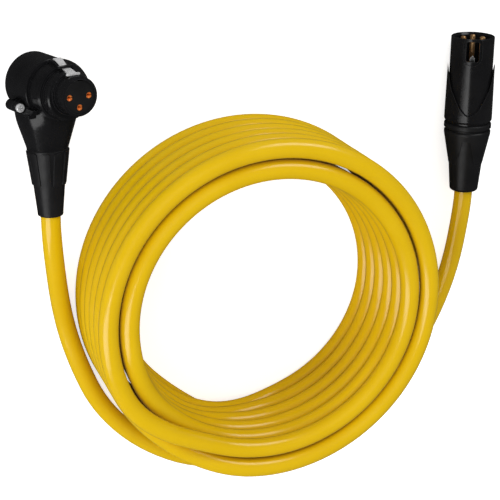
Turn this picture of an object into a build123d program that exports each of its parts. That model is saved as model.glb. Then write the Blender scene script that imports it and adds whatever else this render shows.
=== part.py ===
# Balanced microphone cable, coiled: right-angle socket connector at one end, straight pin connector at the other.
from build123d import *
import os
from math import cos, degrees, pi, radians, sin, tan

# Cable and coil
CABLE_D = 8.2
CORE_R = 0.9
OUTER_COIL_R = 71.6
INNER_COIL_R = 62.65
COIL_LAYERS = 6
OUTER_PITCH = 8.2
INNER_PITCH = 8.04
INNER_TAPER = 0.47
COIL_CORE_INSET = 1.5

# Fits
RUNNING_FIT = 0.05
TURNING_FIT = 0.1
CABLE_CLEARANCE = 0.5

# Pin connector: lengths are distances behind its open rim
PIN_AXIS_X = 104.5
PIN_RIM_Y = 104.4
PIN_SPIN = -27.0
NOSE_R = 9.5
NOSE_LENGTH = 10.4
NECK_R = 9.42
NOSE_BORE_R = 8.1
RIM_BORE_R = 8.75
BODY_R = 10.6
BODY_FRONT_R = 10.3
BODY_START = 10.5
SHOULDER = 38.75
BODY_END = SHOULDER - 0.95
SPIGOT_R = 7.4
SPIGOT_BORE_R = 6.3
SPIGOT_END = SHOULDER + 11.25
INSERT_FACE = 15.0
INSERT_BACK = 30.0
CONTACT_CIRCLE_R = 4.2
PIN_R = 1.2
PIN_ROOT_R = 1.0
PIN_TIP = 0.1
CUP_R = 1.5
CUP_END = 35.0
WINDOW_WIDTH = 5.8
WINDOW_START = 1.0
WINDOW_END = 10.0
RECESS_WIDTH = 8.2
RECESS_END = 11.6
RING_WIDTH = 2.45
RING_R = 10.5
PIN_BOOT_R = 10.35
PIN_BOOT_END = 70.5
PIN_JACKET_END = 43.0

# Socket connector: nose along +Z, stem along -Y, latch at +Y
HEAD_X = -86.6
HEAD_Y = 96.5
HEAD_TILT = 17.5
HEAD_R = 12.2
HEAD_BACK = -11.0
HEAD_EDGE_R = 1.5
HEAD_RIM = 7.0
HEAD_WALL = 1.8
FRONT_R = 11.0
FRONT_END = 15.0
COLLAR_R = 9.7
COLLAR_END = 20.0
SOCKET_NOSE_R = 7.7
SOCKET_FACE = 27.0
SOCKET_BORE_R = 6.6
SOCKET_CIRCLE_R = CONTACT_CIRCLE_R
SOCKET_OFFSET = (0.2, 0.85)
NOSE_BAND = 23.6
SOCKET_R = 1.7
SOCKET_BORE = 1.25
STEM_R = 8.35
STEM_END = -24.8
STEM_SHOULDER_R = 12.3
STEM_SHOULDER = -11.9
STEM_SPIGOT_R = 6.2
STEM_BORE_R = 5.2
STEM_SPIGOT_END = -33.8
SOCKET_BOOT_END = -53.3
PAD_START = -25.8
PAD_END = -39.9
PAD_LIFT = 0.5
SOCKET_JACKET_END = -31.0
SCREW_X = -13.4
SCREW_Y = -6.1
SCREW_HEAD_R = 1.7
LUG_R = 2.2
LUG_BACK = -4.6
LUG_SEAM = 1.2
EAR_TOP = 3.5
LATCH_WIDTH = 3.4
LATCH_PIVOT = (9.2, 8.8)
TRUNNION_R = 0.8
CATCH = (8.5, 9.3)

BOOT_TRAVEL = 3.0


def turned(*profile):
    # Solid of revolution about Z from (radius, height) corners.
    face = make_face(Polyline(*profile, close=True))
    return revolve(Plane.XZ * face, axis=Axis.Z)


def tube(outer, inner, low, high):
    return turned((inner, low), (outer, low), (outer, high), (inner, high))


def rod(radius, low, high):
    return Pos(0, 0, low) * extrude(Circle(radius), high - low)


def block(x0, x1, y0, y1, z0, z1):
    return Pos((x0 + x1) / 2, (y0 + y1) / 2, (z0 + z1) / 2) * Box(x1 - x0, y1 - y0, z1 - z0)


def around(shape, count, first=0.0):
    return [Rot(0, 0, first + 360 / count * k) * shape for k in range(count)]


def joined(shapes):
    total = shapes[0]
    for shape in shapes[1:]:
        total += shape
    return total


def bend_radii(points):
    # Largest tangent arc at each corner: 0.45 of the shorter run.
    radii = []
    for before, corner, after in zip(points, points[1:], points[2:]):
        run_in = Vector(*corner) - Vector(*before)
        run_out = Vector(*after) - Vector(*corner)
        half_turn = radians(run_in.get_angle(run_out)) / 2
        radii.append(0.45 * min(run_in.length, run_out.length) / tan(half_turn))
    return radii


def swept(points, radius, radii):
    path = FilletPolyline(*points, radius=radii)
    start = Plane(origin=path @ 0, z_dir=path % 0)
    return sweep(start * Circle(radius), path=path), path.length


def at_depth(part):
    # Pin connector pieces are drawn with distance behind the rim along +Z, then stood nose first.
    return Rot(180, 0, 0) * part


# ---------------------------------------------------------------- pin connector
def pin_shell():
    nose = turned(
        (RIM_BORE_R, 0),
        (NOSE_R - 0.25, 0),
        (NOSE_R, 0.25),
        (NOSE_R, NOSE_LENGTH),
        (NECK_R, SHOULDER),
        (SPIGOT_R, SHOULDER),
        (SPIGOT_R, SPIGOT_END - 0.5),
        (SPIGOT_R - 0.5, SPIGOT_END),
        (SPIGOT_BORE_R, SPIGOT_END),
        (SPIGOT_BORE_R, INSERT_BACK),
        (NOSE_BORE_R, INSERT_BACK),
        (NOSE_BORE_R, 1.0),
    )
    body = turned(
        (NOSE_R - 0.5, BODY_START),
        (BODY_FRONT_R, BODY_START),
        (BODY_R, BODY_END - 3.8),
        (BODY_R, BODY_END - 0.9),
        (BODY_R - 0.15, BODY_END - 0.4),
        (BODY_R - 0.5, BODY_END),
        (NOSE_R - 0.5, BODY_END),
    )
    side = [(12.6, 0), (10.5, 11), (8.6, BODY_END - 15.4), (4.3, BODY_END - 6.4)]
    scallop_line = FilletPolyline(
        *[(-x, z) for x, z in side], (0, BODY_END - 2.6), *reversed(side),
        radius=[4, 12, 6, 3, 6, 12, 4],
    )
    scallop = make_face([*scallop_line.edges(), Line((12.6, 0), (-12.6, 0))])
    body -= extrude(Plane.XZ * scallop, 2 * BODY_R, both=True)
    recess_face = Pos(0, RECESS_END - 6.5) * RectangleRounded(RECESS_WIDTH, 13, RECESS_WIDTH / 2 - 0.4)
    recess = extrude(Plane.XZ * recess_face, 2 * BODY_R) - rod(NOSE_R - 0.4, -5, 20)
    window_length = WINDOW_END - WINDOW_START
    window_face = Pos(0, WINDOW_START + window_length / 2) * RectangleRounded(WINDOW_WIDTH, window_length, 1.2)
    window = extrude(Plane.XZ * window_face, 2 * BODY_R)
    return nose + body - at_window(recess) - at_window(window)


def at_window(cutter):
    # The latch window opens towards +Y while the distances run along +Z.
    return Rot(0, 0, 180) * cutter


def pin_places():
    return [(CONTACT_CIRCLE_R, 0), (-CONTACT_CIRCLE_R, 0), (0, -CONTACT_CIRCLE_R)]


def pin_root():
    return turned((0, INSERT_FACE), (PIN_R, INSERT_FACE), (PIN_ROOT_R, INSERT_BACK), (0, INSERT_BACK))


def pin_insert():
    insert = rod(NOSE_BORE_R, INSERT_FACE, INSERT_BACK)
    for x, y in pin_places():
        insert -= Pos(x, y, 0) * pin_root()
    return insert - block(-1.0, 1.0, 6.6, 7.2, INSERT_FACE - 1, 22)


def pin_contact(x, y):
    pin = rod(PIN_R, PIN_TIP, INSERT_FACE)
    pin = fillet(pin.edges().group_by(Axis.Z)[0], 0.95) + pin_root()
    cup = tube(CUP_R, CORE_R, INSERT_BACK + 1, CUP_END) + rod(CUP_R, INSERT_BACK, INSERT_BACK + 1)
    return Pos(x, y, 0) * (pin + cup)


def ground_spring():
    leaf = block(-1.0, 1.0, 6.7, 7.1, 8.6, 21.8)
    tip = Polyline((-1.0, 8.6), (0, 7.4), (1.0, 8.6), close=True)
    tip = Pos(0, 7.1, 0) * extrude(Plane.XZ * make_face(tip), 0.4)
    arrow = Polyline((-1.0, 9.4), (0, 8.2), (1.0, 9.4), (1.0, 8.7), (0, 7.5), (-1.0, 8.7), close=True)
    ridge = Pos(0, 7.5, 0) * extrude(Plane.XZ * make_face(arrow), 0.5)
    return leaf + tip + ridge


def coding_ring():
    low = SHOULDER
    high = SHOULDER + RING_WIDTH
    ring = turned(
        (SPIGOT_R + RUNNING_FIT, low),
        (RING_R - 0.45, low),
        (RING_R, low + 0.4),
        (RING_R, high - 0.4),
        (RING_R - 0.45, high),
        (SPIGOT_R + RUNNING_FIT, high),
    )
    notch = block(RING_R - 0.6, RING_R + 1, -1.0, 1.0, low + 0.6, high - 0.6)
    for turn in (20, 160):
        ring -= Rot(0, 0, turn) * notch
    return ring


def chuck(outer, front, cone_start, back, end_r, inner, slit_from):
    body = turned(
        (inner, front), (outer - 0.4, front), (outer, front + 0.4),
        (outer, cone_start), (end_r, back), (inner, back),
    )
    slit = block(0, outer + 1, -0.4, 0.4, slit_from, back + 1)
    for cut in around(slit, 4, 45):
        body -= cut
    return body


def pin_boot():
    front = SHOULDER + RING_WIDTH + RUNNING_FIT
    back = PIN_BOOT_END
    wide = turned(
        (5.0, front),
        (NECK_R, front),
        (NECK_R, front + 0.8),
        (PIN_BOOT_R - 0.35, front + 0.8),
        (PIN_BOOT_R, front + 1.2),
        (PIN_BOOT_R, front + 2.2),
        (7.55, 57.7),
        (5.0, 57.7),
    )
    edge = wide.edges().group_by(Axis.Z)[-1].sort_by(SortBy.RADIUS)[-1]
    wide = fillet(edge, 0.5)
    gap_face = make_face(FilletPolyline((-5.9, 65), (-1.8, 45.8), (1.8, 45.8), (5.9, 65), radius=1.3, close=True))
    for gap in around(extrude(Plane.XZ * gap_face, 14), 3, 182):
        wide -= gap
    slim = turned((5.0, front), (8.9, front), (7.3, 59.0), (6.3, back), (5.0, back))
    edge = slim.edges().group_by(Axis.Z)[-1].sort_by(SortBy.RADIUS)[-1]
    slim = fillet(edge, 1.2)
    bore = turned(
        (0, front - 1),
        (SPIGOT_R + TURNING_FIT, front - 1),
        (SPIGOT_R + TURNING_FIT, SPIGOT_END + 0.5),
        (SPIGOT_BORE_R, SPIGOT_END + 0.5),
        (CABLE_D / 2 + 1.1, 57.5),
        (CABLE_D / 2 + CABLE_CLEARANCE, 58.5),
        (CABLE_D / 2 + CABLE_CLEARANCE, back + 1),
        (0, back + 1),
    )
    return wide + slim - bore


def pin_core(x, y):
    scale = 1.9 / CONTACT_CIRCLE_R
    points = [
        (x * scale, y * scale, PIN_JACKET_END),
        (x * scale, y * scale, PIN_JACKET_END - 2),
        (x, y, CUP_END + 2),
        (x, y, INSERT_BACK + 1),
    ]
    return swept(points, CORE_R, 1.2)[0]


# ------------------------------------------------------------- socket connector
def along_stem(part):
    # Pieces turned about the stem are drawn with +Z along the stem's -Y.
    return Rot(90, 0, 0) * part


def head_height():
    tilt = radians(HEAD_TILT)
    down = (-HEAD_BACK - HEAD_EDGE_R) * cos(tilt) + (HEAD_R - HEAD_EDGE_R) * sin(tilt)
    return down + HEAD_EDGE_R


def stem_body():
    stem = turned(
        (0, 6),
        (STEM_SHOULDER_R, 6),
        (STEM_SHOULDER_R, -STEM_SHOULDER),
        (STEM_R, -STEM_END),
        (STEM_SPIGOT_R, -STEM_END),
        (STEM_SPIGOT_R, -STEM_SPIGOT_END),
        (0, -STEM_SPIGOT_END),
    )
    shoulder = stem.edges().filter_by(GeomType.CIRCLE).group_by(Axis.Z)[1]
    return along_stem(fillet(shoulder, 22))


def elbow_housing():
    head = rod(HEAD_R, HEAD_BACK, HEAD_RIM)
    head = fillet(head.edges().group_by(Axis.Z)[0], HEAD_EDGE_R)
    head = fillet(head.edges().group_by(Axis.Z)[-1], 0.4)
    lug = Pos(SCREW_X, SCREW_Y, 0) * rod(LUG_R, LUG_BACK, LUG_SEAM)
    lug = fillet(lug.edges().group_by(Axis.Z)[0], 1.0)
    lug += block(SCREW_X, -8, SCREW_Y - LUG_R + 0.3, SCREW_Y + LUG_R - 0.3, LUG_BACK + 0.8, LUG_SEAM)
    front_seat = rod(FRONT_R, HEAD_RIM, 20)
    cavity = rod(HEAD_R - HEAD_WALL, HEAD_BACK + HEAD_WALL, HEAD_RIM)
    bore = along_stem(rod(STEM_BORE_R, 0, 40))
    screw_hole = Pos(SCREW_X, SCREW_Y, 0) * rod(1.0, LUG_BACK + 1, 5)
    return head + stem_body() + lug - front_seat - cavity - bore - screw_hole


def front_shell():
    nose_mouth = SOCKET_FACE - 0.5
    shell = turned(
        (5.5, 6.0),
        (8.4, 6.0),
        (8.4, 3.0),
        (HEAD_R - HEAD_WALL, 3.0),
        (HEAD_R - HEAD_WALL, HEAD_RIM),
        (FRONT_R, HEAD_RIM),
        (FRONT_R, FRONT_END - 0.8),
        (FRONT_R - 0.5, FRONT_END),
        (COLLAR_R, FRONT_END),
        (COLLAR_R, 16.6),
        (COLLAR_R - 0.45, 16.6),
        (COLLAR_R - 0.45, 17.3),
        (COLLAR_R, 17.3),
        (COLLAR_R, COLLAR_END - 0.5),
        (COLLAR_R - 0.5, COLLAR_END),
        (5.5, COLLAR_END),
    )
    back_r = SOCKET_NOSE_R - 0.1
    nose = turned(
        (SOCKET_BORE_R, COLLAR_END - 1),
        (back_r + 0.8, COLLAR_END - 1),
        (back_r + 0.8, COLLAR_END + 0.7),
        (back_r, COLLAR_END + 0.7),
        (back_r, NOSE_BAND),
        (SOCKET_NOSE_R, NOSE_BAND),
        (SOCKET_NOSE_R, nose_mouth),
        (SOCKET_NOSE_R - 0.15, nose_mouth + 0.35),
        (SOCKET_NOSE_R - 0.5, SOCKET_FACE),
        (SOCKET_BORE_R, SOCKET_FACE),
    )
    throat = Pos(*SOCKET_OFFSET, 0) * rod(SOCKET_BORE_R, 5, SOCKET_FACE + 1)
    shell = shell - throat + Pos(*SOCKET_OFFSET, 0) * nose
    hood_line = Spline((12.1, 8.0), (12.6, 12.0), (11.7, 15.0), (10.2, 18.0), (9.1, 21.5), (8.5, 24.0))
    hood_face = make_face([hood_line, Polyline((8.5, 24.0), (7.2, 25.2), (7.2, 8.0), (12.1, 8.0))])
    hood = Rot(0, 0, -30) * revolve(Plane.XZ * hood_face, axis=Axis.Z, revolution_arc=132)
    shell += hood - Pos(*SOCKET_OFFSET, 0) * rod(SOCKET_NOSE_R - 0.4, 0, 30)
    slot = block(-LATCH_WIDTH / 2 - 0.15, LATCH_WIDTH / 2 + 0.15, 7.8, 15, 7.3, NOSE_BAND - 0.1)
    slot += block(-LATCH_WIDTH / 2 - 0.15, LATCH_WIDTH / 2 + 0.15, 6.9, 15, 18.5, NOSE_BAND - 0.1)
    slot += block(-3.0, 3.0, 6.9, 15, 21.5, NOSE_BAND - 0.1)
    pivot_y, pivot_z = LATCH_PIVOT
    slot += Pos(-2.9, pivot_y, pivot_z) * Rot(0, 90, 0) * rod(TRUNNION_R + RUNNING_FIT, 0, 5.8)
    shell -= slot
    bridge = block(-3.2, 3.2, 10.45, 11.2, 16.2, 17.7)
    shell += bridge
    nose_flat = Pos(0, 7.8, 25.3) * Rot(18, 0, 0) * Pos(0, 3, 0) * Box(12, 6, 9)
    shell -= nose_flat - block(-9, 9, 0, 20, 10, NOSE_BAND)
    ear = Pos(SCREW_X, SCREW_Y, 0) * rod(LUG_R, LUG_SEAM, EAR_TOP)
    boss = Pos(-11.7, -7.9, 0) * extrude(RectangleRounded(3.4, 3.0, 0.7), 10.6)
    ear += boss - rod(20, -1, LUG_SEAM)
    ear += block(-11.7, -8.2, -8.2, -6.6, HEAD_RIM, 10.2)
    ear -= rod(HEAD_R, -20, HEAD_RIM)
    ear -= rod(FRONT_R - 0.5, HEAD_RIM, 30)
    ear -= Pos(SCREW_X, SCREW_Y, 0) * (rod(1.0, -5, 10) + rod(SCREW_HEAD_R + 0.2, EAR_TOP, 12))
    outside = stem_body() - rod(FRONT_R, 0, 20)
    return shell + ear - outside


def socket_places():
    x, y = SOCKET_OFFSET
    return [(x + SOCKET_CIRCLE_R, y), (x - SOCKET_CIRCLE_R, y), (x, y - SOCKET_CIRCLE_R)]


def socket_insert():
    face = SOCKET_FACE - 0.5
    insert = Pos(*SOCKET_OFFSET, 0) * rod(SOCKET_BORE_R, 6.0, face)
    insert -= block(-5, 5, 6.85, 9, 17.5, face + 1)
    for x, y in socket_places():
        insert -= Pos(x, y, 0) * (rod(SOCKET_R, 4, face - 0.7) + rod(SOCKET_BORE, 4, 30))
    return insert


def socket_contact(x, y):
    front = SOCKET_FACE - 1.2
    contact = tube(SOCKET_R, SOCKET_BORE, 14.0, front) + rod(SOCKET_R, 9.0, 14.0) + tube(SOCKET_R, CORE_R, 4.0, 9.0)
    contact -= block(-3, 3, -0.22, 0.22, front - 6, front + 1)
    return Pos(x, y, 0) * contact


def latch():
    outer = [(13.1, 10.8), (12.35, 12.6), (11.2, 14.6), (10.25, 16.0), (10.2, 17.9), (9.9, 19.6), (9.5, 21.2)]
    inner = [(8.6, 20.9), (9.0, 19.2), (9.3, 17.6), (9.4, 15.6), (10.2, 13.9), (11.2, 12.2), (11.3, 11.9)]
    catch_low, catch_top = CATCH
    profile = Polyline(
        *outer, (catch_top, 22.0), (catch_top, 23.1), (catch_low, 23.1), (catch_low, 21.4), *inner,
        (8.9, 9.8), (9.6, 8.2), close=True,
    )
    half = LATCH_WIDTH / 2
    pivot_y, pivot_z = LATCH_PIVOT
    lever = extrude(Plane.YZ * make_face(profile), half, both=True)
    boss = Rot(0, 90, 0) * rod(1.25, -half, half)
    trunnion = Rot(0, 90, 0) * rod(TRUNNION_R, -half - 1.1, half + 1.1)
    catch = block(-2.75, 2.75, catch_low, catch_top, 22.0, 23.1)
    return lever + Pos(0, pivot_y, pivot_z) * (boss + trunnion) + catch


def latch_spring():
    wire = 0.22
    floor = 7.8 + wire
    coil = Helix(pitch=0.7, height=2.1, radius=0.95)
    section = Plane(origin=coil @ 0, z_dir=coil % 0) * Circle(wire)
    return Pos(0, floor, 12.4) * Rot(-90, 0, 0) * sweep(section, path=coil)


def assembly_screw():
    head = rod(SCREW_HEAD_R, EAR_TOP, EAR_TOP + 1.4)
    head = fillet(head.edges().group_by(Axis.Z)[-1], 0.4)
    cross = block(-1.1, 1.1, -0.2, 0.2, EAR_TOP + 0.6, 8)
    head -= cross + Rot(0, 0, 90) * cross
    return Pos(SCREW_X, SCREW_Y, 0) * (head + rod(1.0, LUG_BACK + 1.5, EAR_TOP))


def socket_boot():
    front = -STEM_END + RUNNING_FIT
    back = -SOCKET_BOOT_END
    body = turned(
        (4.2, front), (STEM_R - 0.3, front), (STEM_R, front + 0.3), (6.5, 39.3), (5.3, 51.5), (5.2, back), (4.2, back),
    )
    edge = body.edges().group_by(Axis.Z)[-1].sort_by(SortBy.RADIUS)[-1]
    body = fillet(edge, 0.5)
    pad_skin = turned(
        (4.2, -PAD_START), (STEM_R + PAD_LIFT - 0.1, -PAD_START), (6.45 + PAD_LIFT, -PAD_END), (4.2, -PAD_END),
    )
    pad_length = PAD_START - PAD_END
    pad_face = Pos(0, -PAD_START + pad_length / 2) * RectangleRounded(3.3, pad_length, 0.9)
    pads = [pad_skin & cutter for cutter in around(extrude(Plane.XZ * pad_face, 12), 10)]
    body += joined(pads)
    bore = turned(
        (0, front - 1),
        (STEM_SPIGOT_R + TURNING_FIT, front - 1),
        (STEM_SPIGOT_R + TURNING_FIT, -STEM_SPIGOT_END + 0.4),
        (STEM_BORE_R, -STEM_SPIGOT_END + 0.4),
        (CABLE_D / 2 + 0.75, 41.0),
        (CABLE_D / 2 + CABLE_CLEARANCE, 41.8),
        (CABLE_D / 2 + CABLE_CLEARANCE, back + 1),
        (0, back + 1),
    )
    return body - bore


def socket_core(x, y, start_x, start_z):
    points = [(start_x, SOCKET_JACKET_END, start_z), (start_x, -13.5, start_z), (x, y, -4.5), (x, y, 8.9)]
    return swept(points, CORE_R, 2.5)[0]


# ------------------------------------------------------------------------ cable
def cable_coil():
    low = CABLE_D / 2
    top = low + (COIL_LAYERS - 1) * INNER_PITCH
    left = INNER_COIL_R - CABLE_D / 2 + COIL_CORE_INSET
    right = OUTER_COIL_R + CABLE_D / 2 - COIL_CORE_INSET
    lean = (COIL_LAYERS - 1) * INNER_TAPER
    profile = make_face(Polyline((left - lean, low), (right, low), (right, top), (left, top), close=True))
    for layer in range(COIL_LAYERS):
        inner_r = INNER_COIL_R - (COIL_LAYERS - 1 - layer) * INNER_TAPER
        profile += Pos(OUTER_COIL_R, low + layer * OUTER_PITCH) * Circle(CABLE_D / 2)
        profile += Pos(inner_r, low + layer * INNER_PITCH) * Circle(CABLE_D / 2)
    return revolve(Plane.XZ * profile, axis=Axis.Z)


FLOOR_Z = CABLE_D / 2
SOCKET_TAIL = [
    (HEAD_X, HEAD_Y + SOCKET_JACKET_END, head_height()),
    (HEAD_X, 30.0, head_height()),
    (-82.0, -5.0, FLOOR_Z),
    (-76.0, -28.6, FLOOR_Z),
    (-66.3, -52.3, FLOOR_Z),
    (-47.9, -72.4, FLOOR_Z),
    (-21.4, -86.9, FLOOR_Z),
    (10.8, -87.8, 7.0),
    (37.6, -77.1, 16.0),
    (59.4, -59.4, 16.0),
    (74.3, -34.7, 6.0),
    (80.6, -8.5, FLOOR_Z),
    (75.5, 17.4, FLOOR_Z),
    (62.0, 38.7, FLOOR_Z),
]
PIN_TAIL = [
    (PIN_AXIS_X, PIN_RIM_Y - PIN_JACKET_END, BODY_R),
    (PIN_AXIS_X, 25.5, BODY_R),
    (103.0, -10.5, FLOOR_Z),
    (88.5, -43.0, FLOOR_Z),
    (68.0, -62.5, FLOOR_Z),
    (43.0, -74.5, FLOOR_Z),
    (17.0, -77.0, FLOOR_Z),
    (-7.0, -70.5, FLOOR_Z),
    (-27.0, -57.0, FLOOR_Z),
]


def tail(name, points):
    radii = bend_radii(points)
    solid, length = swept(points, CABLE_D / 2, radii)
    print(name, "bend radii", [round(r, 1) for r in radii])
    print(name, "length", round(length, 1), "volume ratio", round(solid.volume / (length * pi * CABLE_D**2 / 4), 4))
    return solid


# --------------------------------------------------------------------- assembly
def pin_connector():
    pieces = {
        "m_shell": pin_shell(),
        "m_insert": pin_insert(),
        "m_ground_spring": ground_spring(),
        "m_coding_ring": coding_ring(),
        "m_chuck": chuck(SPIGOT_BORE_R - TURNING_FIT, SHOULDER + 2.85, SPIGOT_END + 0.4, SPIGOT_END + 6.5,
                         CABLE_D / 2 + 1.0, CABLE_D / 2 + 0.3, SHOULDER + 6.25),
        "m_boot": pin_boot(),
    }
    for number, (x, y) in enumerate(pin_places(), 1):
        pieces[f"m_pin_{number}"] = pin_contact(x, y)
        pieces[f"m_core_{number}"] = pin_core(x, y)
    stand = Pos(PIN_AXIS_X, PIN_RIM_Y, BODY_R) * Rot(-90, 0, 0) * Rot(0, 0, PIN_SPIN)
    return {name: stand * at_depth(piece) for name, piece in pieces.items()}


def socket_connector():
    pieces = {
        "f_elbow_housing": elbow_housing(),
        "f_front_shell": front_shell(),
        "f_insert": socket_insert(),
        "f_latch": latch(),
        "f_latch_spring": latch_spring(),
        "f_assembly_screw": assembly_screw(),
        "f_chuck": along_stem(chuck(STEM_BORE_R - TURNING_FIT, 2.2 - STEM_END, 0.5 - STEM_SPIGOT_END,
                                    6.7 - STEM_SPIGOT_END, CABLE_D / 2 + 0.65, CABLE_D / 2 + 0.3,
                                    4.7 - STEM_END)),
        "f_boot": along_stem(socket_boot()),
    }
    starts = [(1.7, 1.1), (-1.7, 1.1), (0, -1.9)]
    for number, ((x, y), (start_x, start_z)) in enumerate(zip(socket_places(), starts), 1):
        pieces[f"f_socket_{number}"] = socket_contact(x, y)
        pieces[f"f_core_{number}"] = socket_core(x, y, start_x, start_z)
    stand = Pos(HEAD_X, HEAD_Y, head_height()) * Rot(0, HEAD_TILT, 0)
    return {name: stand * piece for name, piece in pieces.items()}


if __name__ == "__main__":
    connectors = pin_connector() | socket_connector()
    box = Compound(list(connectors.values())).bounding_box()
    shift = Pos(-box.center().X, -box.center().Y, -box.min.Z)
    cable = {
        "cable_coil": cable_coil(),
        "cable_tail_socket": tail("cable_tail_socket", SOCKET_TAIL),
        "cable_tail_pin": tail("cable_tail_pin", PIN_TAIL),
    }
    os.makedirs("parts", exist_ok=True)
    for name, piece in (connectors | cable).items():
        export_step(shift * piece, f"parts/{name}.step")
    print("shift", shift.position, "box", box.size)
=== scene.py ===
import math
import bmesh
import bpy
from mathutils import Matrix, Vector


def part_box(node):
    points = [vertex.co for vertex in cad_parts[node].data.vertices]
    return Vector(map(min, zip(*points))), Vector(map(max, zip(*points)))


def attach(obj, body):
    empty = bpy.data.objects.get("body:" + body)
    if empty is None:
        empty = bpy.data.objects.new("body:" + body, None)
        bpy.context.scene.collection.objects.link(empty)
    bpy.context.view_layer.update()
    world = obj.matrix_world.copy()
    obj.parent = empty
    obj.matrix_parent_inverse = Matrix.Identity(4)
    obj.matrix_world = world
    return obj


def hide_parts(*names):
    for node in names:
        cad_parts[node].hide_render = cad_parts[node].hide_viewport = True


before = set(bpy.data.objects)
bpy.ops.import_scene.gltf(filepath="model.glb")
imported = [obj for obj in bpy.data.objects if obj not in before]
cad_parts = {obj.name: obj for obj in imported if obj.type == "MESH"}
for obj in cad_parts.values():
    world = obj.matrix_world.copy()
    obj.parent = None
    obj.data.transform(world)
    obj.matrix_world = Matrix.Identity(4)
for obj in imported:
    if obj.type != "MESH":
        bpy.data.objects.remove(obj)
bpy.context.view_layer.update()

mm = 0.001
coilLow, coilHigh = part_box("cable_coil")
coilCentre = Vector(((coilLow[0] + coilHigh[0]) / 2, (coilLow[1] + coilHigh[1]) / 2, 0))


def fromCoil(x, y, z):
    # Millimetres from the coil's centre on the table, to scene metres.
    return coilCentre + Vector((x, y, z)) * mm


def boxCentre(node):
    low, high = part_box(node)
    return (Vector(low) + Vector(high)) / 2


# camera
cameraSettings = {
    "place": (-187.88, 219.39, 531.24),
    "right": (0.9409, 0.0072, 0.3386),
    "up": (0.1102, 0.9389, -0.3262),
    "lens": 97.2,
    "sensor": 36,
    "clip": 0.01,
}


def cameraAxes():
    right = Vector(cameraSettings["right"]).normalized()
    back = right.cross(Vector(cameraSettings["up"])).normalized()
    return right, back.cross(right), back


def makeCamera():
    right, up, back = cameraAxes()
    data = bpy.data.cameras.new("camera")
    data.lens = cameraSettings["lens"]
    data.sensor_width = cameraSettings["sensor"]
    data.clip_start = cameraSettings["clip"]
    camera = bpy.data.objects.new("camera", data)
    bpy.context.scene.collection.objects.link(camera)
    turn = Matrix((right, up, back)).transposed().to_4x4()
    camera.matrix_world = Matrix.Translation(fromCoil(*cameraSettings["place"])) @ turn
    bpy.context.scene.camera = camera


makeCamera()
print("stage: camera")

# cable
cableSettings = {
    "diameter": 8.2,
    "outerRadius": 71.6,
    "innerRadius": 62.65,
    "innerTaper": 0.47,
    "outerPitch": 8.2,
    "innerPitch": 8.04,
    "layers": 6,
    "step": 15,
    "start": 45,
    "rampHalf": 20,
    "outerRamps": (233, 595, 957, 1319, 1681),
    "crossing": 2025,
    "innerRamps": (2373, 2747, 3121, 3495, 3869),
    "end": 4199,
    "resolution": 6,
    "socketTail": (
        (-86.6, 65.5, 13.78), (-86.6, 47.0, 13.78), (-86.6, 30.0, 13.78), (-82.0, -5.0, 4.1), (-76.0, -28.6, 4.1),
        (-66.3, -52.3, 4.1), (-47.9, -72.4, 4.1), (-21.4, -86.9, 4.1), (10.8, -87.8, 7), (37.6, -77.1, 16),
        (59.4, -59.4, 16), (74.3, -34.7, 6), (80.6, -8.5, 4.1), (75.5, 17.4, 4.1), (64.0, 36.5, 4.1),
    ),
    "pinTail": (
        (-27.0, -57.0, 4.1), (-7.0, -70.5, 4.1), (17.0, -77.0, 4.1), (43.0, -74.5, 4.1), (68.0, -62.5, 4.1),
        (88.5, -43.0, 4.1), (103.0, -10.5, 4.1), (104.5, 25.5, 10.6), (104.5, 39.0, 10.6), (104.5, 61.4, 10.6),
    ),
}


def eased(angle, centre):
    half = cableSettings["rampHalf"]
    t = min(1, max(0, (angle - centre + half) / (2 * half)))
    return t * t * (3 - 2 * t)


def coilPoints():
    s = cableSettings
    stretch = 1 / math.cos(math.radians(s["step"] / 2))
    points = []
    angle = s["start"]
    while angle <= s["end"]:
        climbed = sum(eased(angle, c) for c in s["outerRamps"])
        sunk = sum(eased(angle, c) for c in s["innerRamps"])
        across = eased(angle, s["crossing"])
        innerRadius = s["innerRadius"] - s["innerTaper"] * sunk
        radius = s["outerRadius"] + (innerRadius - s["outerRadius"]) * across
        outerZ = s["diameter"] / 2 + s["outerPitch"] * climbed
        innerZ = s["diameter"] / 2 + s["innerPitch"] * (s["layers"] - 1 - sunk)
        z = outerZ + (innerZ - outerZ) * across
        a = math.radians(angle)
        points.append((radius * stretch * math.cos(a), radius * stretch * math.sin(a), z))
        angle += s["step"]
    return points


def makeRoute():
    # One NURBS line through the socket's tail, every turn of the coil and the pin's tail.
    s = cableSettings
    route = [*s["socketTail"], *coilPoints(), *s["pinTail"]]
    data = bpy.data.curves.new("cable_route", "CURVE")
    data.dimensions = "3D"
    data.resolution_u = s["resolution"]
    data.bevel_resolution = s["resolution"]
    data.use_fill_caps = True
    spline = data.splines.new("NURBS")
    spline.points.add(len(route) - 1)
    for point, place in zip(spline.points, route):
        point.co = (*fromCoil(*place), 1)
    spline.order_u = 3
    spline.use_endpoint_u = True
    return bpy.data.objects.new("cable_route", data)


def meshOf(shape):
    bpy.context.scene.collection.objects.link(shape)
    mesh = bpy.data.meshes.new_from_object(shape.evaluated_get(bpy.context.evaluated_depsgraph_get()))
    bpy.context.scene.collection.objects.unlink(shape)
    return mesh


def makeCable():
    route = makeRoute()
    line = [tuple(v.co) for v in meshOf(route).vertices]
    route.data.bevel_depth = cableSettings["diameter"] / 2 * mm
    mesh = meshOf(route)
    mesh.polygons.foreach_set("use_smooth", [True] * len(mesh.polygons))
    cable = bpy.data.objects.new("cable", mesh)
    bpy.context.scene.collection.objects.link(cable)
    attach(cable, "cable_set")
    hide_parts("cable_coil", "cable_tail_socket", "cable_tail_pin")
    return cable, line


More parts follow.
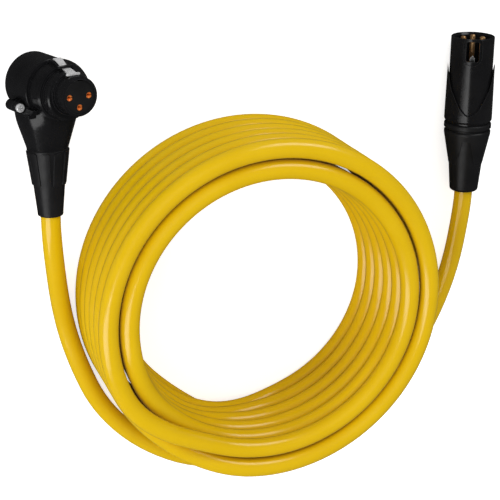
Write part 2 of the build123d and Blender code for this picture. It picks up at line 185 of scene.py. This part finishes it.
cable, cableLine = makeCable()
cableLength = sum((Vector(b) - Vector(a)).length for a, b in zip(cableLine, cableLine[1:]))
print("cable length", round(cableLength, 3), "faces", len(cable.data.polygons))
print("stage: cable")


# shared node groups
groupSettings = {
    "tone": {"slowDetail": 3, "fastScale": 900, "fastDetail": 5, "fastShare": 0.3, "spread": (0.36, 0.64)},
    "grain": {"swellDetail": 2},
    "drift": {"detail": 6, "distortion": 0.6, "spread": (0.3, 0.7)},
    "edge": {"samples": 8, "radius": 0.22, "likeness": (0.97, 0.72)},
}
# Places of a Mix node's sockets, for numbers and for colours.
numberA, numberB, numberOut = 2, 3, 0
colourA, colourB, colourOut = 6, 7, 2


def newGroup(name, inputs, outputs):
    group = bpy.data.node_groups.new(name, "ShaderNodeTree")
    for label, kind, value in inputs:
        socket = group.interface.new_socket(label, in_out="INPUT", socket_type=kind)
        if value is not None:
            socket.default_value = value
    for label, kind in outputs:
        group.interface.new_socket(label, in_out="OUTPUT", socket_type=kind)
    return group, group.nodes.new("NodeGroupInput"), group.nodes.new("NodeGroupOutput")


def makeToneGroup():
    # Two scales of colour drift between a low and a high tone.
    s = groupSettings["tone"]
    inputs = (
        ("Vector", "NodeSocketVector", None),
        ("Low", "NodeSocketColor", None),
        ("High", "NodeSocketColor", None),
        ("Scale", "NodeSocketFloat", 60.0),
    )
    group, source, sink = newGroup("softTone", inputs, (("Color", "NodeSocketColor"),))
    nodes, links = group.nodes, group.links
    slow = nodes.new("ShaderNodeTexNoise")
    slow.inputs["Detail"].default_value = s["slowDetail"]
    fast = nodes.new("ShaderNodeTexNoise")
    fast.inputs["Scale"].default_value = s["fastScale"]
    fast.inputs["Detail"].default_value = s["fastDetail"]
    blendScales = nodes.new("ShaderNodeMix")
    blendScales.inputs["Factor"].default_value = s["fastShare"]
    spread = nodes.new("ShaderNodeMapRange")
    spread.inputs["From Min"].default_value, spread.inputs["From Max"].default_value = s["spread"]
    tone = nodes.new("ShaderNodeMix")
    tone.data_type = "RGBA"
    links.new(source.outputs["Vector"], slow.inputs["Vector"])
    links.new(source.outputs["Scale"], slow.inputs["Scale"])
    links.new(source.outputs["Vector"], fast.inputs["Vector"])
    links.new(slow.outputs["Fac"], blendScales.inputs[numberA])
    links.new(fast.outputs["Fac"], blendScales.inputs[numberB])
    links.new(blendScales.outputs[numberOut], spread.inputs["Value"])
    links.new(spread.outputs["Result"], tone.inputs["Factor"])
    links.new(source.outputs["Low"], tone.inputs[colourA])
    links.new(source.outputs["High"], tone.inputs[colourB])
    links.new(tone.outputs[colourOut], sink.inputs["Color"])
    return group


def makeGrainGroup():
    # Orange-peel swell under a fine moulded grain.
    inputs = (
        ("Vector", "NodeSocketVector", None),
        ("Swell Scale", "NodeSocketFloat", 400.0),
        ("Grain Scale", "NodeSocketFloat", 4000.0),
        ("Grain Share", "NodeSocketFloat", 0.5),
    )
    group, source, sink = newGroup("mouldedGrain", inputs, (("Height", "NodeSocketFloat"),))
    nodes, links = group.nodes, group.links
    swell = nodes.new("ShaderNodeTexNoise")
    swell.inputs["Detail"].default_value = groupSettings["grain"]["swellDetail"]
    grain = nodes.new("ShaderNodeTexVoronoi")
    grain.feature = "SMOOTH_F1"
    both = nodes.new("ShaderNodeMix")
    for texture, label in ((swell, "Swell Scale"), (grain, "Grain Scale")):
        links.new(source.outputs["Vector"], texture.inputs["Vector"])
        links.new(source.outputs[label], texture.inputs["Scale"])
    links.new(source.outputs["Grain Share"], both.inputs["Factor"])
    links.new(swell.outputs["Fac"], both.inputs[numberA])
    links.new(grain.outputs["Distance"], both.inputs[numberB])
    links.new(both.outputs[numberOut], sink.inputs["Height"])
    return group


def makeDriftGroup():
    # Handling marks: roughness drifts between two values in clouds.
    s = groupSettings["drift"]
    inputs = (
        ("Vector", "NodeSocketVector", None),
        ("Low", "NodeSocketFloat", 0.3),
        ("High", "NodeSocketFloat", 0.4),
        ("Scale", "NodeSocketFloat", 150.0),
    )
    group, source, sink = newGroup("roughnessDrift", inputs, (("Value", "NodeSocketFloat"),))
    nodes, links = group.nodes, group.links
    clouds = nodes.new("ShaderNodeTexNoise")
    clouds.inputs["Detail"].default_value = s["detail"]
    clouds.inputs["Distortion"].default_value = s["distortion"]
    fit = nodes.new("ShaderNodeMapRange")
    fit.inputs["From Min"].default_value, fit.inputs["From Max"].default_value = s["spread"]
    links.new(source.outputs["Vector"], clouds.inputs["Vector"])
    links.new(source.outputs["Scale"], clouds.inputs["Scale"])
    links.new(clouds.outputs["Fac"], fit.inputs["Value"])
    links.new(source.outputs["Low"], fit.inputs["To Min"])
    links.new(source.outputs["High"], fit.inputs["To Max"])
    links.new(fit.outputs["Result"], sink.inputs["Value"])
    return group


def makeEdgeGroup():
    # Mask of the edges, where a rounded normal parts from the true one; the materials use it to paint a highlight
    # along the edges.
    s = groupSettings["edge"]
    inputs = (("Strength", "NodeSocketFloat", 1.0),)
    group, source, sink = newGroup("edgeMask", inputs, (("Mask", "NodeSocketFloat"),))
    nodes, links = group.nodes, group.links
    rounded = nodes.new("ShaderNodeBevel")
    rounded.samples = s["samples"]
    rounded.inputs["Radius"].default_value = s["radius"] * mm
    facing = nodes.new("ShaderNodeNewGeometry")
    likeness = nodes.new("ShaderNodeVectorMath")
    likeness.operation = "DOT_PRODUCT"
    paintedEdgeHighlight = nodes.new("ShaderNodeMapRange")
    paintedEdgeHighlight.inputs["From Min"].default_value, paintedEdgeHighlight.inputs["From Max"].default_value = s["likeness"]
    links.new(rounded.outputs["Normal"], likeness.inputs[0])
    links.new(facing.outputs["Normal"], likeness.inputs[1])
    links.new(likeness.outputs["Value"], paintedEdgeHighlight.inputs["Value"])
    links.new(source.outputs["Strength"], paintedEdgeHighlight.inputs["To Max"])
    links.new(paintedEdgeHighlight.outputs["Result"], sink.inputs["Mask"])
    return group


groups = {
    "tone": makeToneGroup(),
    "grain": makeGrainGroup(),
    "drift": makeDriftGroup(),
    "edge": makeEdgeGroup(),
}
print("stage: node groups")

# materials
roundSamples = 4
# Each edge colour below is a painted highlight along that surface's edges, lighter than the surface itself.
surfaceSettings = {
    "jacket": {
        "low": (0.800, 0.505, 0.0010), "high": (0.830, 0.532, 0.0020), "toneScale": 45,
        "rough": (0.19, 0.24), "driftScale": 90,
        "swell": 180, "grain": 3200, "grainShare": 0.12, "bump": (0.04, 0.00003),
        "specular": 0.5, "sheen": (0.08, 0.4, (1.0, 0.86, 0.35)),
    },
    "glossBlack": {
        "low": (0.0060, 0.0060, 0.0066), "high": (0.0095, 0.0095, 0.0103), "toneScale": 80,
        "rough": (0.16, 0.22), "driftScale": 300,
        "swell": 240, "grain": 5000, "grainShare": 0.04, "bump": (0.05, 0.00002),
        "specular": 0.28, "edge": (0.05, 0.05, 0.053),
    },
    "satinBlack": {
        "low": (0.0085, 0.0085, 0.0092), "high": (0.0130, 0.0130, 0.0138), "toneScale": 90,
        "rough": (0.34, 0.42), "driftScale": 260,
        "swell": 600, "grain": 4200, "grainShare": 0.5, "bump": (0.12, 0.00003),
        "specular": 0.22, "edge": (0.035, 0.035, 0.037), "round": 0.15,
    },
    "insertBlack": {
        "low": (0.0080, 0.0080, 0.0082), "high": (0.0120, 0.0120, 0.0122), "toneScale": 120,
        "rough": (0.42, 0.52), "driftScale": 300,
        "swell": 700, "grain": 4500, "grainShare": 0.6, "bump": (0.12, 0.00003),
        "specular": 0.2, "edge": (0.03, 0.03, 0.03), "round": 0.1,
    },
    "silver": {
        "low": (0.74, 0.74, 0.75), "high": (0.90, 0.90, 0.90), "toneScale": 300,
        "rough": (0.22, 0.34), "driftScale": 700,
        "swell": 900, "grain": 6000, "grainShare": 0.5, "bump": (0.08, 0.00003),
        "specular": 0.7, "metallic": 0.35, "edge": (0.97, 0.97, 0.96), "round": 0.12,
    },
    "copper": {
        "low": (0.86, 0.17, 0.025), "high": (0.98, 0.30, 0.06), "toneScale": 400,
        "rough": (0.24, 0.36), "driftScale": 900,
        "swell": 900, "grain": 6000, "grainShare": 0.4, "bump": (0.06, 0.00002),
        "specular": 0.6, "metallic": 0.3, "edge": (1.0, 0.42, 0.14), "round": 0.05,
    },
    "gold": {
        "low": (0.66, 0.36, 0.15), "high": (0.88, 0.56, 0.28), "toneScale": 400,
        "rough": (0.24, 0.38), "driftScale": 900,
        "swell": 900, "grain": 6000, "grainShare": 0.4, "bump": (0.06, 0.00002),
        "specular": 0.6, "metallic": 0.85, "edge": (0.97, 0.74, 0.46), "round": 0.05,
    },
    "springSteel": {
        "low": (0.030, 0.030, 0.032), "high": (0.060, 0.060, 0.062), "toneScale": 500,
        "rough": (0.30, 0.42), "driftScale": 900,
        "swell": 900, "grain": 6000, "grainShare": 0.4, "bump": (0.06, 0.00002),
        "specular": 0.6, "metallic": 0.4, "edge": (0.80, 0.80, 0.80),
    },
    "core": {
        "low": (0.62, 0.62, 0.58), "high": (0.75, 0.75, 0.70), "toneScale": 300,
        "rough": (0.36, 0.46), "driftScale": 500,
        "swell": 700, "grain": 5000, "grainShare": 0.5, "bump": (0.10, 0.00004),
        "specular": 0.5,
    },
}


def useGroup(tree, name, vector=None):
    node = tree.nodes.new("ShaderNodeGroup")
    node.node_tree = groups[name]
    if vector is not None:
        tree.links.new(vector, node.inputs["Vector"])
    return node


def makeSurface(name):
    s = surfaceSettings[name]
    material = bpy.data.materials.new(name)
    material.use_nodes = True
    tree = material.node_tree
    shader = tree.nodes["Principled BSDF"]
    shader.inputs["Metallic"].default_value = s.get("metallic", 0.0)
    shader.inputs["Specular IOR Level"].default_value = s["specular"]
    if "sheen" in s:
        weight, sheenRoughness, tint = s["sheen"]
        shader.inputs["Sheen Weight"].default_value = weight
        shader.inputs["Sheen Roughness"].default_value = sheenRoughness
        shader.inputs["Sheen Tint"].default_value = (*tint, 1)
    place = tree.nodes.new("ShaderNodeTexCoord").outputs["Object"]

    tone = useGroup(tree, "tone", place)
    tone.inputs["Low"].default_value = (*s["low"], 1)
    tone.inputs["High"].default_value = (*s["high"], 1)
    tone.inputs["Scale"].default_value = s["toneScale"]
    colour = tone.outputs["Color"]
    # Painted highlight: the lighter edge colour is mixed into the base colour along the edges.
    if "edge" in s:
        edge = useGroup(tree, "edge")
        paintedEdgeHighlight = tree.nodes.new("ShaderNodeMix")
        paintedEdgeHighlight.data_type = "RGBA"
        paintedEdgeHighlight.inputs[colourB].default_value = (*s["edge"], 1)
        tree.links.new(edge.outputs["Mask"], paintedEdgeHighlight.inputs["Factor"])
        tree.links.new(colour, paintedEdgeHighlight.inputs[colourA])
        colour = paintedEdgeHighlight.outputs[colourOut]
    tree.links.new(colour, shader.inputs["Base Color"])

    drift = useGroup(tree, "drift", place)
    drift.inputs["Low"].default_value, drift.inputs["High"].default_value = s["rough"]
    drift.inputs["Scale"].default_value = s["driftScale"]
    tree.links.new(drift.outputs["Value"], shader.inputs["Roughness"])

    grain = useGroup(tree, "grain", place)
    grain.inputs["Swell Scale"].default_value = s["swell"]
    grain.inputs["Grain Scale"].default_value = s["grain"]
    grain.inputs["Grain Share"].default_value = s["grainShare"]
    bump = tree.nodes.new("ShaderNodeBump")
    bump.inputs["Strength"].default_value, bump.inputs["Distance"].default_value = s["bump"]
    tree.links.new(grain.outputs["Height"], bump.inputs["Height"])
    if "round" in s:
        rounded = tree.nodes.new("ShaderNodeBevel")
        rounded.samples = roundSamples
        rounded.inputs["Radius"].default_value = s["round"] * mm
        tree.links.new(rounded.outputs["Normal"], bump.inputs["Normal"])
    tree.links.new(bump.outputs["Normal"], shader.inputs["Normal"])
    return material


surfaces = {name: makeSurface(name) for name in surfaceSettings}


def surfaceFor(node):
    if node in ("m_shell", "f_front_shell", "f_elbow_housing"):
        return surfaces["glossBlack"]
    if node.endswith("insert"):
        return surfaces["insertBlack"]
    if node.startswith("f_socket"):
        return surfaces["copper"]
    if node.startswith("m_pin"):
        return surfaces["gold"]
    if node == "m_ground_spring":
        return surfaces["springSteel"]
    if node in ("f_latch", "f_latch_spring", "f_assembly_screw"):
        return surfaces["silver"]
    if "_core_" in node:
        return surfaces["core"]
    return surfaces["satinBlack"]


cable.data.materials.append(surfaces["jacket"])
cable.visible_glossy = False
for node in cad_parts:
    if not node.startswith("cable"):
        bpy.data.objects[node].material_slots[0].material = surfaceFor(node)
print("stage: materials")

# slotted contact mouths inside the three sockets
fingerSettings = {
    "tilt": 17.5,
    "reach": 10.9,
    "depth": 0.35,
    "rimRadius": 1.24,
    "throatRadius": 0.32,
    "length": 2.2,
    "thickness": 0.12,
    "slotHalf": 0.2,
    "steps": 14,
    "rings": 5,
}


def fingerMesh():
    # Two bowed leaves, drawn with the socket's mouth at z = 0 and the slot along x.
    s = fingerSettings
    bm = bmesh.new()
    for side in (1, -1):
        rows = []
        for ring in range(s["rings"]):
            t = ring / (s["rings"] - 1)
            radius = s["rimRadius"] + (s["throatRadius"] - s["rimRadius"]) * math.sin(t * math.pi / 2)
            z = -s["length"] * t * t
            start = math.asin(min(0.9, s["slotHalf"] / radius))
            row = []
            for step in range(s["steps"] + 1):
                a = start + (math.pi - 2 * start) * step / s["steps"]
                row.append(bm.verts.new((radius * math.cos(a) * mm, side * radius * math.sin(a) * mm, z * mm)))
            rows.append(row)
        for upper, lower in zip(rows, rows[1:]):
            for i in range(s["steps"]):
                bm.faces.new((upper[i], lower[i], lower[i + 1], upper[i + 1]))
    bmesh.ops.recalc_face_normals(bm, faces=bm.faces)
    bmesh.ops.solidify(bm, geom=bm.faces, thickness=s["thickness"] * mm)
    mesh = bpy.data.meshes.new("finger_leaves")
    bm.to_mesh(mesh)
    bm.free()
    mesh.polygons.foreach_set("use_smooth", [True] * len(mesh.polygons))
    return mesh


def repeatTree(material):
    tree = bpy.data.node_groups.new("repeatAtPoints", "GeometryNodeTree")
    tree.interface.new_socket("Geometry", in_out="INPUT", socket_type="NodeSocketGeometry")
    tree.interface.new_socket("Piece", in_out="INPUT", socket_type="NodeSocketObject")
    tree.interface.new_socket("Turn", in_out="INPUT", socket_type="NodeSocketVector")
    tree.interface.new_socket("Size", in_out="INPUT", socket_type="NodeSocketFloat")
    tree.interface.new_socket("Geometry", in_out="OUTPUT", socket_type="NodeSocketGeometry")
    nodes, links = tree.nodes, tree.links
    source, sink = nodes.new("NodeGroupInput"), nodes.new("NodeGroupOutput")
    shape = nodes.new("GeometryNodeObjectInfo")
    place = nodes.new("GeometryNodeInstanceOnPoints")
    turn = nodes.new("FunctionNodeEulerToRotation")
    real = nodes.new("GeometryNodeRealizeInstances")
    paint = nodes.new("GeometryNodeSetMaterial")
    paint.inputs["Material"].default_value = material
    links.new(source.outputs["Piece"], shape.inputs["Object"])
    links.new(source.outputs["Turn"], turn.inputs["Euler"])
    links.new(source.outputs["Geometry"], place.inputs["Points"])
    links.new(shape.outputs["Geometry"], place.inputs["Instance"])
    links.new(turn.outputs["Rotation"], place.inputs["Rotation"])
    links.new(source.outputs["Size"], place.inputs["Scale"])
    links.new(place.outputs["Instances"], real.inputs["Geometry"])
    links.new(real.outputs["Geometry"], paint.inputs["Geometry"])
    links.new(paint.outputs["Geometry"], sink.inputs["Geometry"])
    return tree


def makeRepeated(name, mesh, places, turn, material, body):
    shape = bpy.data.objects.new(name + "_shape", mesh)
    anchors = bpy.data.meshes.new(name + "_anchors")
    anchors.from_pydata([tuple(p) for p in places], [], [])
    holder = bpy.data.objects.new(name + "_holder", anchors)
    bpy.context.scene.collection.objects.link(holder)
    tree = repeatTree(material)
    modifier = holder.modifiers.new("repeat", "NODES")
    modifier.node_group = tree
    values = {"Piece": shape, "Turn": turn, "Size": 1.0}
    for item in tree.interface.items_tree:
        if item.in_out == "INPUT" and item.name in values:
            modifier[item.identifier] = values[item.name]
    depsgraph = bpy.context.evaluated_depsgraph_get()
    result = bpy.data.meshes.new_from_object(holder.evaluated_get(depsgraph))
    bpy.data.objects.remove(holder)
    bpy.data.objects.remove(shape)
    piece = bpy.data.objects.new(name, result)
    bpy.context.scene.collection.objects.link(piece)
    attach(piece, body)
    return piece


def makeFingers():
    s = fingerSettings
    tilt = math.radians(s["tilt"])
    axis = Vector((math.sin(tilt), 0, math.cos(tilt)))
    places = [boxCentre(f"f_socket_{n}") + axis * (s["reach"] + s["depth"]) * mm for n in (1, 2, 3)]
    turn = (0, tilt, 0)
    return makeRepeated("socket_fingers", fingerMesh(), places, turn, surfaces["copper"], "cable_set")


makeFingers()
print("stage: socket fingers")

# floor and light
floorSettings = {"half": 4.0, "lift": -0.1, "albedo": 0.88, "roughness": 0.9, "glow": 0.66, "gloss": 0.05}


def makeFloor():
    s = floorSettings
    mesh = bpy.data.meshes.new("floor")
    corners = [(x * s["half"], y * s["half"], s["lift"] * mm) for x, y in ((-1, -1), (1, -1), (1, 1), (-1, 1))]
    mesh.from_pydata(corners, [], [(0, 1, 2, 3)])
    floor = bpy.data.objects.new("floor", mesh)
    bpy.context.scene.collection.objects.link(floor)
    material = bpy.data.materials.new("floor")
    material.use_nodes = True
    tree = material.node_tree
    shader = tree.nodes["Principled BSDF"]
    shader.inputs["Base Color"].default_value = (s["albedo"],) * 3 + (1,)
    shader.inputs["Roughness"].default_value = s["roughness"]
    shader.inputs["Specular IOR Level"].default_value = 0
    shader.inputs["Emission Color"].default_value = (1, 1, 1, 1)
    rays = tree.nodes.new("ShaderNodeLightPath")
    glow = tree.nodes.new("ShaderNodeMath")
    glow.operation = "MULTIPLY"
    glow.inputs[1].default_value = s["glow"]
    tree.links.new(rays.outputs["Is Camera Ray"], glow.inputs[0])
    tree.links.new(glow.outputs["Value"], shader.inputs["Emission Strength"])
    dark = tree.nodes.new("ShaderNodeBsdfDiffuse")
    dark.inputs["Color"].default_value = (s["gloss"],) * 3 + (1,)
    mix = tree.nodes.new("ShaderNodeMixShader")
    tree.links.new(rays.outputs["Is Glossy Ray"], mix.inputs["Fac"])
    tree.links.new(shader.outputs["BSDF"], mix.inputs[1])
    tree.links.new(dark.outputs["BSDF"], mix.inputs[2])
    tree.links.new(mix.outputs["Shader"], tree.nodes["Material Output"].inputs["Surface"])
    mesh.materials.append(material)


lightSettings = {
    "world": 0.47,
    "worldGloss": 0.06,
    "target": (0, 0, 25),
    "distance": 1.1,
    "areas": {
        "left": {"bearing": 207, "rise": 36, "size": (0.46, 0.95), "radiance": 3.9},
        "back": {"bearing": 60, "rise": 24, "size": (0.56, 0.46), "radiance": 4.2},
        "fill": {"bearing": 131, "rise": 66, "size": (0.90, 0.90), "radiance": 1.0, "matte": True},
    },
}


def makeWorld():
    world = bpy.data.worlds.new("studio")
    bpy.context.scene.world = world
    world.use_nodes = True
    tree = world.node_tree
    background = tree.nodes["Background"]
    background.inputs["Color"].default_value = (1, 1, 1, 1)
    background.inputs["Strength"].default_value = lightSettings["world"]
    faint = tree.nodes.new("ShaderNodeBackground")
    faint.inputs["Color"].default_value = (1, 1, 1, 1)
    faint.inputs["Strength"].default_value = lightSettings["worldGloss"]
    rays = tree.nodes.new("ShaderNodeLightPath")
    mix = tree.nodes.new("ShaderNodeMixShader")
    tree.links.new(rays.outputs["Is Glossy Ray"], mix.inputs["Fac"])
    tree.links.new(background.outputs["Background"], mix.inputs[1])
    tree.links.new(faint.outputs["Background"], mix.inputs[2])
    white = tree.nodes.new("ShaderNodeBackground")
    white.inputs["Color"].default_value = (1, 1, 1, 1)
    backdrop = tree.nodes.new("ShaderNodeMixShader")
    tree.links.new(rays.outputs["Is Camera Ray"], backdrop.inputs["Fac"])
    tree.links.new(mix.outputs["Shader"], backdrop.inputs[1])
    tree.links.new(white.outputs["Background"], backdrop.inputs[2])
    tree.links.new(backdrop.outputs["Shader"], tree.nodes["World Output"].inputs["Surface"])


def makeLamps():
    # Two soft boxes low round the object and a broad fill overhead, each facing it.
    target = fromCoil(*lightSettings["target"])
    for name, area in lightSettings["areas"].items():
        bearing, rise = math.radians(area["bearing"]), math.radians(area["rise"])
        toLamp = Vector((math.cos(bearing) * math.cos(rise), math.sin(bearing) * math.cos(rise), math.sin(rise)))
        data = bpy.data.lights.new(name, "AREA")
        data.shape = "RECTANGLE"
        data.size, data.size_y = area["size"]
        data.energy = area["radiance"] * math.pi * area["size"][0] * area["size"][1]
        lamp = bpy.data.objects.new(name, data)
        lamp.visible_glossy = not area.get("matte", False)
        bpy.context.scene.collection.objects.link(lamp)
        across = Vector((0, 0, 1)).cross(toLamp).normalized()
        turn = Matrix((across, toLamp.cross(across), toLamp)).transposed().to_4x4()
        lamp.matrix_world = Matrix.Translation(target + toLamp * lightSettings["distance"]) @ turn


makeFloor()
makeWorld()
makeLamps()
bpy.context.scene.view_settings.view_transform = "Standard"
print("stage: floor and light")
